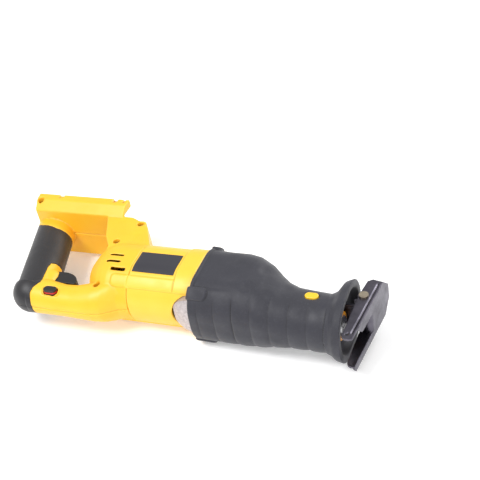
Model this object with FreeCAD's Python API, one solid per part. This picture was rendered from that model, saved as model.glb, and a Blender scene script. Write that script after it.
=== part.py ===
import FreeCAD, Part
import math
import os

V = FreeCAD.Vector

# A cordless reciprocating saw lying on its right side.
# x runs forward to the blade end, y from the top edge to the battery foot, z up.
# z is 0 on the parting plane while the pieces are made; the last step moves every
# piece together so that the middle of the base of the whole box is the origin.

# Clearances
gap = 0.3                  # between pieces that must never touch
running = 0.05             # radial play of a shaft in its bearing or bushing
seat = 0.1                 # between the rubber boot and the casting it covers

# Yellow housing
wall = 3.2                 # moulded wall of the handle shells and the barrel
rubber_skin = 2.0          # grip rubber, flush with the yellow plastic beside it
barrel_radius = 35.0
barrel_stretch = 7.0       # half of the straight flank of the barrel's section
barrel_back = -38.5        # seam between the handle shells and the barrel
barrel_front = 33.0
motor_axis_y = -13.2
notch_x = 32.0               # round notch in the barrel's top, where the casting shows
notch_radius = 21.5
label_back = -36.6
label_front = 10.0
label_low = -32.8
label_high = -4.5
label_sheet = 0.65
# air vents in the rear dome as (middle x, middle y, half height)
vents = [(-62.5, -12.5, 1.1), (-62.0, -22.4, 1.1), (-53.0, -31.6, 1.7)]
vent_half_length = 8.0
vent_skin = 1.3            # the wall is thinned behind the vents
bulge_x = -64.0            # where the barrel's section turns into the rear dome
dome_drawn = 5.2
dome_turns = [0, 12, 24, 35, 45, 54, 62, 69, 75, 80, 84]

# D handle
# top bar stations along x as (x, top y, bottom y, half width, corner radius); it swells and
# slopes down to the barrel at the front
bar_y = -53.3
bar_stations = [
    (-152.0, -69.5, -32.5, 18.5, 18.5),
    (-134.0, -69.6, -33.6, 18.0, 18.0),
    (-114.0, -69.9, -36.7, 16.6, 16.6),
    (-100.0, -70.3, -36.1, 17.1, 17.1),
    (-88.0, -70.4, -32.4, 19.0, 19.0),
    (-76.0, -69.8, -27.4, 21.2, 21.2),
    (-66.0, -67.6, -21.6, 23.0, 23.0),
    (-58.0, -63.2, -13.6, 24.8, 24.8),
    (-50.0, -58.4, -8.4, 25.0, 25.0),
    (-38.8, -55.7, -5.7, 25.0, 25.0),
]
heel_radius = 21.0
heel_at = (-156.5, -48.0)
heel_top = -50.0           # the heel stands a little proud of the grip below this line
grip_low = (-188.0, 64.0)  # centre line of the grip, at the foot and at the bar
grip_high = (-151.3, -53.0)
grip_half_depth = 22.5
guard_at = (-143.0, -28.0)
guard_radius = 13.6
grip_half_width = 18.5

# Battery foot
foot_back = -209.0
foot_lean = 4.5              # the foot's rear end leans back towards the battery side
foot_front = -91.0
foot_inner_y = 57.2
foot_rim_y = 69.0
foot_outer_y = 79.5
foot_neck_half = 29.0
foot_rim_half = 37.0
channel_back = -194.0
channel_half = 28.0
terminal_height = 10.0

# Front strut between foot and motor bulge, as its outline seen from the side
strut_half = 28.0
strut_outline = [(-112, 60), (-104, 42), (-97, 25), (-86, 9), (-84, -2), (-62, -12), (-40, -2), (-39, 15),
                 (-55.7, 46), (-69.7, 55), (-80, 60.2)]
strut_boss_radius = 6.4

# Drive: motor, reduction gear, wobble shaft, plunger
gear_module = 0.6
pinion_teeth = 12
gear_teeth = 40
gear_back = 40.0
gear_width = 8.0
plunger_axis_y = -42.0
plunger_radius = 9.0
stub_radius = 7.0
half_stroke = 14.3
wobble_x = 76.0
jackshaft_radius = 4.0
ball_end_radius = 4.0
ball_play = 0.15
ring_outer = 14.0
ring_bore = 11.0
ring_half_width = 6.0
drum_radius = 6.2
drum_half_length = 8.5
ball_radius = 2.3

# Motor
can_radius = 24.5
can_wall = 2.2
can_back = -38.0
can_front = -2.0
core_radius = 17.8
shaft_radius = 2.5
commutator_radius = 8.0
fan_radius = 22.5
motor_bearing_radius = 8.0
rear_bearing_radius = 8.0
jack_bearing_radius = 7.0

# Gear case and rubber boot: stations along x as (x, top y, bottom y, half width, corner radius)
case_wall = 3.5
boot_thickness = 3.2
plate_back = 12.0
plate_front = 20.0
nose_front = 152.0
boot_back = 33.3
boot_front = 188.5
boot_stations = [
    (boot_back, -64.8, 29.2, 37.0, 31.0),
    (52.0, -65.4, 27.2, 37.0, 31.0),
    (76.0, -66.0, 25.6, 37.0, 31.0),
    (88.0, -66.4, 22.6, 36.4, 30.5),
    (103.0, -67.1, 13.5, 34.5, 29.5),
    (114.0, -67.7, 3.4, 31.5, 28.0),
    (124.0, -68.2, -4.2, 29.0, 27.3),
    (136.0, -68.5, -9.0, 27.6, 27.0),
    (nose_front, -68.8, -10.6, 27.2, 26.9),
]
lip_stations = [
    (170.0, -69.2, -12.3, 27.4, 27.0),
    (176.0, -70.8, -8.0, 29.4, 28.8),
    (181.0, -74.6, 4.8, 33.4, 32.6),
    (boot_front, -75.8, 8.2, 36.0, 35.0),
]
lip_thickness = 7.5

# Blade clamp
clamp_radius = 10.5
clamp_length = 17.4
sleeve_radius = 14.0
lever_reach = 20.5
tang_width = 13.0
tang_thickness = 1.6

# Shoe
shoe_travel = 19.0
shoe_tilt = 7.0            # degrees that the foot side of the shoe leans forward at rest
shoe_pivot_x = 199.5
shoe_pivot_y = -20.0
shoe_half_width = 21.0
shoe_sheet = 2.0
shoe_top = -59.5           # ends of the shoe along its face, measured from the pivot
shoe_bottom = 37.0
shoe_face_ahead = 10.5
slot_low = -13.0             # blade slot in the shoe, across and along it
slot_high = 8.0
slot_end = -7.0
prong_end = -34.0
roll_radius = 6.5
post_thickness = 2.6
post_half_width = 12.0
post_y = -24.4
post_grip = 25.0           # of the post still in the casting with the shoe right out
rivet_radius = 2.5

# Controls
trigger_travel = 7.0
trigger_half = 9.0
lock_at = (-124.4, -57.8)
lock_top = 18.9            # proud of the bar, at rest
lock_travel = 6.0
lock_radius = 4.0
lock_half_straight = 3.5
latch_at = (153.5, -34.6)
latch_half_straight = 2.8
latch_radius = 4.0
latch_travel = 2.5
boot_skin_at_latch = 25.9    # height of the boot's skin where the latch comes through
screw_spots = [(-201.8, 68.6), (-65.8, 49.8), (-80.0, 17.1), (-74.0, -46.0)]
screw_head_z = [31.0, 24.0, 24.0, 14.5]

# Values that follow from the ones above
gear_distance = gear_module * (pinion_teeth + gear_teeth) / 2
jack_axis_y = motor_axis_y + gear_distance
arm_length = jack_axis_y - plunger_axis_y
swing = math.degrees(math.asin(half_stroke / arm_length))
clamp_back = nose_front + half_stroke + 2 * gap
clamp_front = clamp_back + clamp_length
stub_front = wobble_x - 11.0
rear_bushing_front = stub_front - half_stroke - 2 * gap
rear_bushing_back = rear_bushing_front - 10.0
stub_back = rear_bushing_back - 6.5
front_bearing_back = wobble_x + drum_half_length + 3.2
bearing_width = 6.0
web_back = bulge_x - 0.5
post_back = nose_front - post_grip - shoe_travel


def box(x0, x1, y0, y1, z0, z1):
    return Part.makeBox(x1 - x0, y1 - y0, z1 - z0, V(x0, y0, z0))


def rod_x(x0, x1, radius, y, z=0.0):
    return Part.makeCylinder(radius, x1 - x0, V(x0, y, z), V(1, 0, 0))


def rod_y(y0, y1, radius, x, z=0.0):
    return Part.makeCylinder(radius, y1 - y0, V(x, y0, z), V(0, 1, 0))


def rod_z(z0, z1, radius, x, y):
    return Part.makeCylinder(radius, z1 - z0, V(x, y, z0))


def tube_x(x0, x1, outer, inner, y, z=0.0):
    return rod_x(x0, x1, outer, y, z).cut(rod_x(x0 - 1, x1 + 1, inner, y, z))


def prism_z(points, z0, z1):
    face = Part.Face(Part.makePolygon([V(x, y, z0) for x, y in points + points[:1]]))
    return face.extrude(V(0, 0, z1 - z0))


def prism_x(points, x0, x1):
    face = Part.Face(Part.makePolygon([V(x0, y, z) for y, z in points + points[:1]]))
    return face.extrude(V(x1 - x0, 0, 0))


def oval_z(z0, z1, radius, half_straight, x, y):
    # a flat-sided oval, long way along x
    ends = [rod_z(z0, z1, radius, x - half_straight, y), rod_z(z0, z1, radius, x + half_straight, y)]
    return join([box(x - half_straight, x + half_straight, y - radius, y + radius, z0, z1)] + ends)


def join(shapes):
    if len(shapes) == 1:
        return shapes[0]
    return shapes[0].multiFuse(shapes[1:]).removeSplitter()


def section(x, top, bottom, half_width, corner):
    # a rounded rectangle across x; the same eight edges at every station
    corner = min(corner, half_width - 0.05, (bottom - top) / 2 - 0.05)
    edges = []
    corners = [(bottom, half_width, 0), (top, half_width, 90), (top, -half_width, 180),
               (bottom, -half_width, 270)]
    arcs = []
    for y, z, start in corners:
        cy = y - corner if y == bottom else y + corner
        cz = z - corner if z > 0 else z + corner
        points = [V(x, cy + corner * math.cos(math.radians(start + turn)),
                    cz + corner * math.sin(math.radians(start + turn))) for turn in (0, 45, 90)]
        arcs.append(points)
    for index, points in enumerate(arcs):
        following = arcs[(index + 1) % 4]
        edges.append(Part.Arc(*points).toShape())
        edges.append(Part.LineSegment(points[2], following[0]).toShape())
    return Part.Wire(edges)


def loft(stations):
    return Part.makeLoft([section(*station) for station in stations], True, True)


def shrunk(stations, by):
    return [(x, top + by, bottom - by, half - by, max(corner - by, 1.0))
            for x, top, bottom, half, corner in stations]


def barrel_block(x0, x1, inset):
    radius = barrel_radius - inset
    top = motor_axis_y - barrel_stretch - radius
    bottom = motor_axis_y + barrel_stretch + radius
    return loft([(x0, top, bottom, radius, radius), (x1, top, bottom, radius, radius)])


def coil_z(radius, wire, z0, z1, turns, x, y):
    # a compression spring standing on z0
    height = z1 - z0 - wire
    helix = Part.makeLongHelix(height / turns, height, radius)
    ring = Part.Wire(Part.makeCircle(wire / 2, V(radius, 0, 0), V(0, 1, 0)))
    spring = Part.Wire(helix).makePipeShell([ring], True, True)
    spring.translate(V(x, y, z0 + wire / 2))
    return spring


def turned_to_x(shape, x, y, z=0.0):
    # a shape made standing on z = 0, laid down along x
    shape.rotate(V(0, 0, 0), V(0, 1, 0), 90)
    shape.translate(V(x, y, z))
    return shape


def gear_x(teeth, x0, x1, y, turn):
    # involute flanks, 20 degree pressure angle, thinned a little for backlash
    pitch = gear_module * teeth / 2
    base = pitch * math.cos(math.radians(20))
    tip = pitch + 0.85 * gear_module
    root = pitch - 1.15 * gear_module

    def half_angle(radius):
        angle = math.acos(min(1.0, base / max(radius, base)))
        at_pitch = math.radians(20)
        involute = math.tan(angle) - angle - (math.tan(at_pitch) - at_pitch)
        return math.pi / (2 * teeth) - 0.08 / pitch - involute

    points = []
    for tooth in range(teeth):
        middle = 2 * math.pi * tooth / teeth + math.radians(turn)
        radii = [root, max(base, root + 0.1), (base + tip) / 2, tip]
        flank = [(radius, half_angle(radius)) for radius in radii]
        outline = [(r, middle - a) for r, a in flank] + [(r, middle + a) for r, a in reversed(flank)]
        points += [(y + r * math.cos(a), r * math.sin(a)) for r, a in outline]
    return prism_x(points, x0, x1)


# ---------------------------------------------------------------- yellow housing

def grip_prism(inset):
    low = V(grip_low[0], grip_low[1], 0)
    along = V(grip_high[0], grip_high[1], 0) - low
    length = along.Length
    along.normalize()
    # the ellipse in two arcs that meet on the flanks, away from the parting plane
    ellipse = Part.Ellipse(V(0, 0, 0), grip_half_depth - inset, grip_half_width - inset)
    arcs = [ellipse.toShape(0.5 * math.pi, 1.5 * math.pi), ellipse.toShape(1.5 * math.pi, 2.5 * math.pi)]
    solid = Part.Face(Part.Wire(arcs)).extrude(V(0, 0, length))
    place = FreeCAD.Matrix(-along.y, 0, along.x, low.x, along.x, 0, along.y, low.y, 0, 1, 0, 0)
    solid.Placement = FreeCAD.Placement(place)
    return solid


def foot_block(inset):
    half, rim = foot_neck_half - inset, foot_rim_half - inset
    inner, outer = foot_inner_y + inset, foot_outer_y - inset
    outline = [(inner, -half), (foot_rim_y, -rim), (outer, -rim), (outer, rim), (foot_rim_y, rim),
               (inner, half)]
    block = prism_x(outline, foot_back + inset, foot_front - inset)
    lean = [(foot_back - 10, inner - 5), (foot_back + foot_lean + inset, inner - 5),
            (foot_back + inset, foot_outer_y), (foot_back - 10, foot_outer_y)]
    return block.cut(prism_z(lean, -2 * rim, 2 * rim))


def strut_block(inset):
    face = Part.Face(Part.makePolygon([V(x, y, 0) for x, y in strut_outline + strut_outline[:1]]))
    if inset:
        face = face.makeOffset2D(-inset, 2)
    solid = face.extrude(V(0, 0, 2 * (strut_half - inset)))
    solid.translate(V(0, 0, inset - strut_half))
    boss_half = strut_half - 1.0 - inset
    return solid.fuse(rod_z(-boss_half, boss_half, strut_boss_radius - inset, *screw_spots[1]))


def dome_block(inset):
    # the barrel's section closing in like a ball, its top side drawn in a little faster
    radius = barrel_radius - inset
    stations = []
    for turn in dome_turns:
        back = math.sin(math.radians(turn))
        ring = radius * math.cos(math.radians(turn))
        drawn = dome_drawn * min(1.0, back / 0.57)
        low = motor_axis_y - barrel_stretch + drawn
        high = motor_axis_y + barrel_stretch
        stations.append((bulge_x - radius * back, low - ring, high + ring, ring, ring))
    stations.reverse()
    return loft(stations)


def guard_block(inset):
    # rounded boss of the handle that the trigger slides out of
    radius = guard_radius - inset
    post = rod_y(bar_y, guard_at[1], radius, guard_at[0])
    return post.fuse(Part.makeSphere(radius, V(guard_at[0], guard_at[1], 0)))


def heel_block(inset):
    ball = Part.makeSphere(heel_radius - inset, V(heel_at[0], heel_at[1], 0))
    return ball.common(box(-250, 0, -100, heel_top - inset, -50, 50))


def rear_body(inset):
    return join([
        barrel_block(bulge_x, barrel_back - gap, inset),
        dome_block(inset),
        loft(shrunk(bar_stations, inset)),
        heel_block(inset),
        guard_block(inset),
        grip_prism(inset),
        foot_block(inset),
        strut_block(inset),
    ])


def rubber_zone():
    # side view of what the grip rubber covers: the grip, and the heel behind the bar
    outline = [(-230, 55), (-207, 54), (-193, 46.5), (-172, 42.5), (-155, 44.5), (-128, 47), (-128, -12),
               (-133, -13.0), (-138, -10.4), (-142, -9.4), (-146, -10.6), (-148.6, -14.5), (-148.4, -20),
               (-145.5, -33), (-141.5, -49), (-145, -55), (-147.5, -62), (-146, -69), (-142, -76),
               (-140, -82), (-230, -82)]
    return prism_z(outline, -60, 60)


def screw_boss(spot):
    return rod_z(-2 * foot_rim_half, 2 * foot_rim_half, 5.0, *spot)


def handle_shells():
    zone = rubber_zone()
    outer = rear_body(0)
    skin = outer.cut(rear_body(rubber_skin)).common(zone)
    hollow = rear_body(wall).cut(zone).fuse(rear_body(wall + rubber_skin))
    body = outer.cut(skin).cut(hollow)
    # web that carries the rear motor bearing
    web = box(web_back, web_back + bearing_width, -80, 60, -60, 60).common(dome_block(wall - 0.5))
    web = web.cut(rod_x(web_back - 2, web_back + bearing_width + 1, rear_bearing_radius, motor_axis_y))
    for side in (-1, 1):
        web = web.cut(rod_x(web_back - 2, web_back + bearing_width + 1, 5.5, motor_axis_y, side * 20.0))
    bosses = [screw_boss(spot).common(outer) for spot in screw_spots]
    body = join([body, web] + bosses)
    # opening at the front, battery channel below, air vents, controls and screws
    thin = join([barrel_block(bulge_x, barrel_back - gap, vent_skin), dome_block(vent_skin)])
    thin = thin.common(box(-72, -44.5, -35.5, -8.5, -60, 60)).cut(box(-80, -40, -60, 0, -20, 20))
    body = body.cut(thin)
    cuts = [barrel_block(web_back + bearing_width, barrel_back + 1, wall)]
    cuts.append(box(channel_back, foot_front + 8, foot_inner_y + wall, foot_outer_y + 5, -channel_half,
                    channel_half))
    for side in (-1, 1):
        for vent_x, vent_y, vent_half in vents:
            cuts.append(box(vent_x - vent_half_length, vent_x + vent_half_length, vent_y - vent_half,
                            vent_y + vent_half, min(0, side * 40), max(0, side * 40)))
    cuts.append(trigger_block(0.4, trigger_travel + 1.0))
    cuts.append(oval_z(-30, 30, lock_radius + gap, lock_half_straight, *lock_at))
    for spot, head_z in zip(screw_spots, screw_head_z):
        cuts.append(rod_z(head_z - 3.0, head_z + 30, 3.8, *spot))
        cuts.append(rod_z(-head_z + 4.0, head_z, 1.95, *spot))
    for cutter in cuts:
        body = body.cut(cutter)
    big = 400
    upper = box(-big, big, -big, big, 0, big)
    lower = box(-big, big, -big, big, -big, 0)
    nodes["handle_shell_left"] = biggest(body.common(upper))
    nodes["handle_shell_right"] = biggest(body.common(lower))
    skin = skin.cut(trigger_block(0.4, trigger_travel + 1.0))
    nodes["grip_rubber_left"] = biggest(skin.common(upper))
    nodes["grip_rubber_right"] = biggest(skin.common(lower))


def biggest(shape):
    return max(shape.Solids, key=lambda solid: solid.Volume)


def motor_barrel():
    outer = barrel_block(barrel_back, barrel_front, 0)
    body = outer.cut(barrel_block(barrel_back - 1, barrel_front + 1, wall))
    # ribs that hold the motor can
    for turn in (0, 90, 180, 270):
        angle = math.radians(turn)
        y, z = motor_axis_y + 30 * math.cos(angle), 30 * math.sin(angle)
        half_y, half_z = (14, 2) if turn % 180 == 0 else (2, 14)
        rib = box(can_back, can_front, y - half_y, y + half_y, z - half_z, z + half_z)
        body = body.fuse(rib.common(outer))
    body = body.cut(rod_x(barrel_back - 1, barrel_front + 1, can_radius, motor_axis_y))
    # round notch at the top that shows the casting
    body = body.cut(rod_y(-80, motor_axis_y - 12, notch_radius, notch_x))
    # shallow recess for the label
    body = body.cut(label_block(gap))
    nodes["motor_barrel"] = biggest(body.removeSplitter())


def label_block(play):
    # a plate let into the left flank, curved with the barrel
    flat = box(label_back - play, label_front + play, label_low - play, label_high + play, 10, 60)
    bed = barrel_block(barrel_back - 6, barrel_front + 1, label_sheet + 0.05)
    return flat.common(barrel_block(barrel_back - 5, barrel_front, -0.2).cut(bed))


def label_plate():
    plate = box(label_back, label_front, label_low, label_high, 10, 60)
    plate = plate.common(barrel_block(barrel_back - 5, barrel_front, 0.0))
    nodes["label_plate"] = plate.cut(barrel_block(barrel_back - 6, barrel_front + 1, label_sheet))


def housing_screws():
    screws = []
    for spot, head_z in zip(screw_spots, screw_head_z):
        head = rod_z(head_z - 3.0, head_z - 0.6, 3.3, *spot)
        drive = rod_z(head_z - 1.8, head_z, 1.4, *spot)
        shank = rod_z(5.0 - head_z, head_z - 2.9, 1.9, *spot)
        screws.append(head.fuse(shank).cut(drive))
    nodes["housing_screws"] = Part.makeCompound(screws)


# ---------------------------------------------------------------- electrics and controls

def terminal_parts():
    top = foot_inner_y + wall
    block = box(-176, -118, top, top + terminal_height, -20, 20)
    blades = []
    for index in range(5):
        z = (index - 2) * 8.0
        block = block.cut(box(-160, -117, top + 2.5, top + terminal_height + 1, z - 2.2, z + 2.2))
        blades.append(box(-168, -124, top + 3.5, top + terminal_height - 1, z - 0.4, z + 0.4))
    for blade in blades:
        block = block.cut(blade)
    nodes["terminal_block"] = biggest(block)
    nodes["terminal_blades"] = Part.makeCompound(blades)
    nodes["motor_controller"] = box(-108, -80, bar_y - 7, bar_y + 6, -10, 10)


def switch_body():
    body = box(-171, -158, -34, -8, -8, 8)
    nodes["switch_body"] = body.fuse(box(-168, -161, -8, 2, -6, 6))


def trigger_block(grow, back_run):
    # side outline of the finger piece and its stem; back_run stretches it along its travel
    outline = [(-141, -36.4), (-109.6, -36.4), (-108.4, -34.4), (-110.0, -29.6), (-113.0, -25.6),
               (-117.5, -22.4), (-124.5, -20.2), (-133, -19.9), (-141, -20.4)]
    block = prism_z(outline, -trigger_half, trigger_half)
    if not grow:
        return block
    xs = [x for x, y in outline]
    ys = [y for x, y in outline]
    return box(min(xs) - back_run - 16, max(xs) + grow, min(ys) - grow, max(ys) + grow, -trigger_half - grow,
               trigger_half + grow)


def trigger():
    finger = trigger_block(0, 0)
    upright = [e for e in finger.Edges if e.BoundBox.ZLength > 2 * trigger_half - 0.1]
    finger = finger.makeFillet(1.2, upright)
    stem = box(-150, -140, -29.5, -20.5, -6.5, 6.5)
    nodes["trigger"] = finger.fuse(stem).removeSplitter()
    spring = coil_z(3.0, 0.8, 0, 7.4, 4, 0, 0)
    nodes["trigger_spring"] = turned_to_x(spring, -157.7, -25.0)


def lock_button():
    # pressed right in, the other end stands proud instead
    bar = oval_z(lock_travel - lock_top + 1.6, lock_top, lock_radius, lock_half_straight, *lock_at)
    low, high = lock_top - 4.4, lock_top - 2.6
    core = oval_z(low - 1, high + 1, lock_radius - 0.6, lock_half_straight, *lock_at)
    ring = oval_z(low, high, lock_radius, lock_half_straight, *lock_at).cut(core)
    nodes["lock_button"] = bar.cut(ring)
    nodes["lock_ring"] = ring


# ---------------------------------------------------------------- motor

def motor_stator():
    y = motor_axis_y
    nodes["motor_can"] = tube_x(can_back, can_front, can_radius, can_radius - can_wall, y)
    ring = tube_x(can_back + 4, can_front - 4, can_radius - can_wall, core_radius + 0.9, y)
    for side in (-1, 1):
        ring = ring.cut(box(can_back, can_front, y - 8, y + 8, min(0, side * 30), max(0, side * 30)))
    nodes["motor_magnets"] = Part.makeCompound(ring.Solids)
    holder_back, holder_front = can_back - 15.0, can_back - 6.0
    nodes["brush_ring"] = tube_x(holder_back - 2, can_back, can_radius, can_radius - 3.0, y)
    holders, brushes = [], []
    for side in (-1, 1):
        low, high = commutator_radius + 2.0, can_radius - 2.9
        outer = box(holder_back, holder_front, y - 4.5, y + 4.5, min(side * low, side * high),
                    max(side * low, side * high))
        inner = box(holder_back + 1, holder_front - 1, y - 3.5, y + 3.5,
                    min(side * (low - 1), side * (high + 1)), max(side * (low - 1), side * (high + 1)))
        holders.append(outer.cut(inner).common(rod_x(holder_back - 1, holder_front + 1, can_radius - 3.0, y)))
        near, far = commutator_radius + 0.25, commutator_radius + 8.0
        brushes.append(box(holder_back + 1.05, holder_front - 1.05, y - 3.45, y + 3.45,
                           min(side * near, side * far), max(side * near, side * far)))
    nodes["brush_holders"] = Part.makeCompound(holders)
    nodes["carbon_brushes"] = Part.makeCompound(brushes)
    nodes["motor_rear_bearing"] = tube_x(web_back, web_back + bearing_width, rear_bearing_radius,
                                         shaft_radius + running, y)
    nodes["motor_front_bearing"] = tube_x(plate_back + 0.5, plate_front - 0.5, motor_bearing_radius,
                                          shaft_radius + running, y)


def armature():
    y = motor_axis_y
    nodes["motor_shaft"] = rod_x(web_back, gear_back + gear_width + 3, shaft_radius, y)
    core = tube_x(can_back + 6, can_front - 6, core_radius, shaft_radius, y)
    for slot in range(12):
        angle = math.radians(30 * slot)
        cutter = box(can_back, can_front, y + core_radius - 1.6, y + core_radius + 2, -1.0, 1.0)
        cutter.rotate(V(0, y, 0), V(1, 0, 0), math.degrees(angle))
        core = core.cut(cutter)
    nodes["armature_core"] = core
    windings = []
    for x0, x1 in ((can_back + 0.5, can_back + 6), (can_front - 6, can_front - 1)):
        coil = tube_x(x0, x1, core_radius - 2.5, shaft_radius + 2.5, y)
        rims = [e for e in coil.Edges if abs(e.BoundBox.YLength - 2 * (core_radius - 2.5)) < 0.1]
        windings.append(coil.makeFillet(1.8, rims))
    nodes["armature_windings"] = Part.makeCompound(windings)
    commutator = tube_x(can_back - 16, can_back - 4, commutator_radius, shaft_radius, y)
    for slot in range(12):
        cutter = box(can_back - 18, can_back - 6, y + commutator_radius - 0.8, y + commutator_radius + 1,
                     -0.25, 0.25)
        cutter.rotate(V(0, y, 0), V(1, 0, 0), 30 * slot)
        commutator = commutator.cut(cutter)
    nodes["commutator"] = commutator
    fan = join([tube_x(1, 3, fan_radius, shaft_radius, y), tube_x(1, 9, 6.0, shaft_radius, y)])
    blades = []
    for index in range(11):
        blade = box(2.9, 8.6, y + 7.5, y + fan_radius - 0.5, -0.7, 0.7)
        blade.rotate(V(0, y + 7.5, 0), V(1, 0, 0), 25)
        blade.rotate(V(0, y, 0), V(1, 0, 0), index * 360.0 / 11)
        blades.append(blade)
    nodes["cooling_fan"] = join([fan] + blades)
    pinion = gear_x(pinion_teeth, gear_back - 1, gear_back + gear_width + 1, y, 0)
    nodes["drive_pinion"] = pinion.cut(rod_x(gear_back - 2, gear_back + gear_width + 2, shaft_radius, y))


# ---------------------------------------------------------------- wobble drive

def wobble_drive():
    y = jack_axis_y
    nodes["jackshaft"] = rod_x(plate_back + 2.2, front_bearing_back + bearing_width - 0.2,
                               jackshaft_radius, y)
    gear = gear_x(gear_teeth, gear_back, gear_back + gear_width, y, 180.0 / gear_teeth)
    gear = gear.fuse(rod_x(gear_back - 3, gear_back + gear_width + 6, 7.0, y))
    gear = gear.cut(rod_x(gear_back - 5, gear_back + gear_width + 8, jackshaft_radius, y))
    for index in range(6):
        hole = rod_x(gear_back - 1, gear_back + gear_width + 1, 1.2, y + 9.1)
        hole.rotate(V(0, y, 0), V(1, 0, 0), 60 * index)
        gear = gear.cut(hole)
    nodes["drive_gear"] = gear
    centre = V(wobble_x, y, 0)
    drum = rod_x(wobble_x - drum_half_length, wobble_x + drum_half_length, drum_radius, y)
    pitch = ring_bore - gap - ball_radius - 0.1
    groove = Part.makeTorus(pitch, ball_radius + 0.05, centre, V(1, 0, 0))
    drum = drum.cut(groove)
    balls = []
    for index in range(10):
        angle = math.radians(36 * index)
        place = V(wobble_x, y + pitch * math.cos(angle), pitch * math.sin(angle))
        balls.append(Part.makeSphere(ball_radius, place))
    drum.rotate(centre, V(0, 1, 0), swing)
    nodes["wobble_drum"] = drum.cut(rod_x(wobble_x - 20, wobble_x + 20, jackshaft_radius, y))
    cage = Part.makeCompound(balls)
    cage.rotate(centre, V(0, 1, 0), swing)
    nodes["wobble_balls"] = cage
    bore = Part.makeSphere(ring_bore, centre)
    ring = rod_x(wobble_x - ring_half_width, wobble_x + ring_half_width, ring_outer, y)
    arm_root = y - ring_outer + 1.5
    neck_y = plunger_axis_y + plunger_radius + 3.0
    arm = Part.makeCone(5.0, 3.6, arm_root - neck_y, V(wobble_x, arm_root, 0), V(0, -1, 0))
    stem = Part.makeCylinder(2.2, neck_y - plunger_axis_y + 0.5, V(wobble_x, neck_y + 0.5, 0), V(0, -1, 0))
    tip = Part.makeSphere(ball_end_radius, V(wobble_x, plunger_axis_y, 0))
    nodes["wobble_arm"] = join([ring, arm, stem, tip]).cut(bore)


def plunger_group():
    y = plunger_axis_y
    rod = rod_x(stub_front, clamp_back + 1, plunger_radius, y)
    stub = rod_x(stub_back, stub_front + 1, stub_radius, y)
    socket = rod_y(y - ball_end_radius - 2 * ball_play, y + 20, ball_end_radius + ball_play, wobble_x)
    mouth = Part.makeCone(ball_end_radius + ball_play, 7.6, 4.6, V(wobble_x, y + 4.6, 0), V(0, 1, 0))
    rod = rod.fuse(stub).cut(socket).cut(mouth)
    nodes["plunger"] = rod.cut(rod_x(clamp_back, clamp_back + 5, 20, y))
    clamp = rod_x(clamp_back, clamp_front, clamp_radius, y)
    clamp = clamp.cut(box(clamp_back + 4, clamp_front + 1, y - tang_width / 2, y + tang_width / 2,
                          -tang_thickness / 2, tang_thickness / 2))
    pin_x = clamp_back + 10.5
    clamp = clamp.cut(rod_z(tang_thickness / 2 - 0.1, clamp_radius + 1, 2.0, pin_x, y))
    rims = [e for e in clamp.Edges if abs(e.BoundBox.YLength - 2 * clamp_radius) < 0.1
            and e.BoundBox.XMin > clamp_front - 0.1]
    nodes["blade_clamp"] = clamp.makeChamfer(1.0, rims) if rims else clamp
    nodes["clamp_pin"] = rod_z(tang_thickness / 2, clamp_radius - 0.4, 2.0, pin_x, y)
    spring = coil_z(clamp_radius + 1.3, 1.0, 0, 4.6, 3, 0, 0)
    nodes["clamp_spring"] = turned_to_x(spring, clamp_back + 0.3, y)
    sleeve = tube_x(clamp_back + 5.4, clamp_front - 1.2, sleeve_radius, clamp_radius + running, y)
    lever = box(clamp_back + 7, clamp_front - 2.4, y - lever_reach, y - sleeve_radius + 1, -3.6, 3.6)
    upright = [e for e in lever.Edges if e.BoundBox.XLength > 5 and e.BoundBox.YMax < y - lever_reach + 0.1]
    lever = lever.makeFillet(2.4, upright)
    lever.rotate(V(0, y, 0), V(1, 0, 0), 24)
    bore = rod_x(clamp_back, clamp_front + 1, clamp_radius + running, y)
    nodes["clamp_lever"] = sleeve.fuse(lever).cut(bore)


# ---------------------------------------------------------------- gear case and boot

def case_outer():
    stations = shrunk(boot_stations, boot_thickness + seat)
    main = loft(stations)
    core = barrel_block(plate_front, boot_back + 0.5, wall + seat)
    # dome that swells from the barrel out to the boot, seen through the barrel's notch
    crown = motor_axis_y - barrel_stretch
    low = barrel_radius - 1.0
    high = crown - stations[0][1] - 0.2
    profile = [V(plate_back + 1, crown, 0), V(plate_back + 1, crown - low, 0)]
    middle = V((plate_back + 1 + boot_back) / 2 - 2.5, crown - (low + high) / 2 - 0.6, 0)
    arc = Part.Arc(profile[1], middle, V(boot_back + 0.3, crown - high, 0)).toShape()
    end = V(boot_back + 0.3, crown, 0)
    edges = [Part.LineSegment(profile[0], profile[1]).toShape(), arc,
             Part.LineSegment(arc.Vertexes[-1].Point, end).toShape(),
             Part.LineSegment(end, profile[0]).toShape()]
    dome = Part.Face(Part.Wire(edges)).revolve(V(0, crown, 0), V(1, 0, 0), 360)
    dome = dome.common(rod_y(-90, motor_axis_y - 12, notch_radius - gap, notch_x))
    return join([main, core, dome])


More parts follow.
